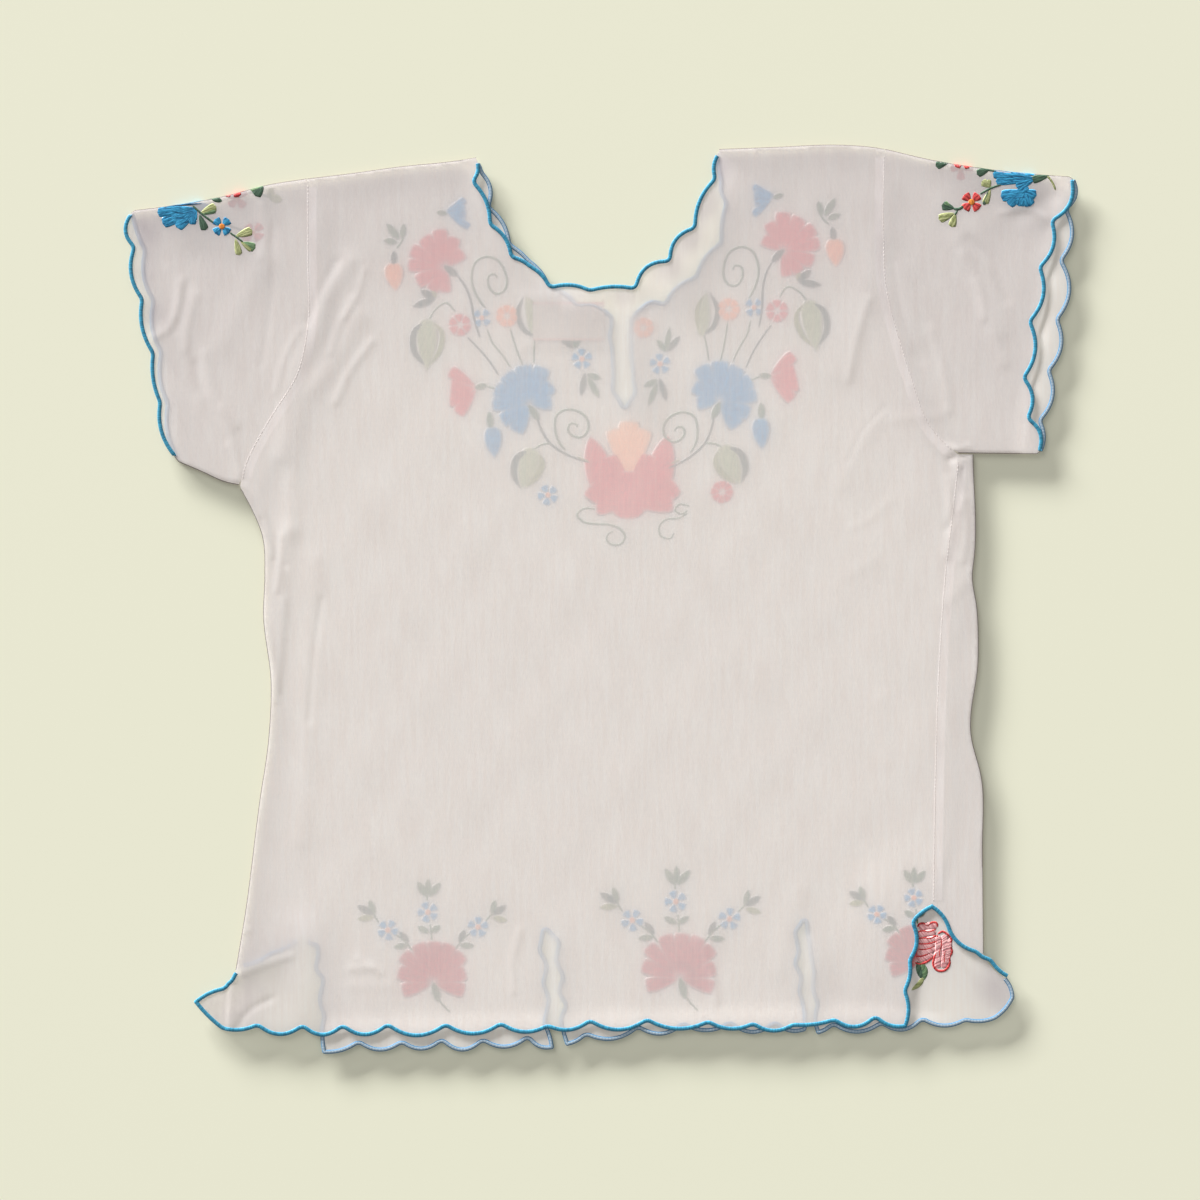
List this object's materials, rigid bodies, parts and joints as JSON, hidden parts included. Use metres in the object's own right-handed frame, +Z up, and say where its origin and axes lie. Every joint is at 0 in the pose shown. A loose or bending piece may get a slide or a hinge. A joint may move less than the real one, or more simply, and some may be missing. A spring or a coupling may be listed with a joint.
{
  "type": "embroidered blouse",
  "caption": "Short-sleeved cotton blouse laid flat with its back up, scalloped at neck, cuffs, hem, slits and side vents.",
  "frame": {"origin": "middle of the laid-out blouse's bounding box, on the table it lies on", "axes": "+X towards the wearer's right sleeve, +Y towards the neck, +Z up, out of the blouse's back"},
  "size_m": [0.667, 0.6354, 0.0083],
  "materials": {
    "white_cotton": "sheer plain-woven white cotton, matt, with fine slubs along the grain",
    "blue_edging": "buttonhole stitches in blue cotton thread, slightly glossy",
    "label_tape": "plain woven tape, left without text"
  },
  "bodies": {
    "root": {"front": "white_cotton", "back": "white_cotton", "sleeve_left": "white_cotton", "sleeve_right": "white_cotton", "neck_label": "label_tape", "neck_edging_back": "blue_edging", "neck_edging_front": "blue_edging", "cuff_edging_left": "blue_edging", "cuff_edging_right": "blue_edging", "hem_edging_back": "blue_edging", "hem_edging_front": "blue_edging", "vent_edging_left": "blue_edging", "vent_edging_right": "blue_edging"}
  },
  "joints": []
}
